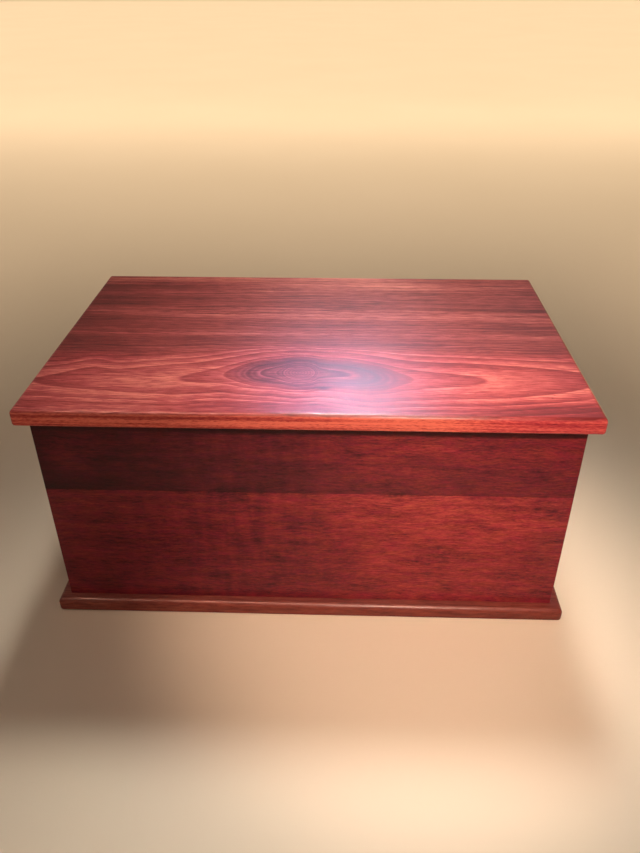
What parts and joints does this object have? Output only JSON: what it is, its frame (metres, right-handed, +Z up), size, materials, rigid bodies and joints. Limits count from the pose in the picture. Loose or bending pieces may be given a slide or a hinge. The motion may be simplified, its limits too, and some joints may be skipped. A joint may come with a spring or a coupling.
{
  "type": "wooden cremation urn box",
  "caption": "Rectangular wooden urn box: mitred walls between a rounded-edge base board and an overhanging lid board that lifts off, hollow inside.",
  "frame": {"origin": "middle of the base board's underside, where the box stands", "axes": "+Z up, the front faces -Y, the long side runs along X"},
  "size_m": [0.3, 0.19, 0.1403],
  "materials": {
    "lid_wood": "satin lacquer",
    "upper_board_wood": "satin lacquer",
    "lower_board_wood": "satin lacquer",
    "base_wood": "satin lacquer"
  },
  "bodies": {
    "root": {"base": "base_wood", "front_lower_board": "lower_board_wood", "front_upper_board": "upper_board_wood", "right_lower_board": "lower_board_wood", "right_upper_board": "upper_board_wood", "back_lower_board": "lower_board_wood", "back_upper_board": "upper_board_wood", "left_lower_board": "lower_board_wood", "left_upper_board": "upper_board_wood", "lid": "lid_wood"}
  },
  "joints": []
}
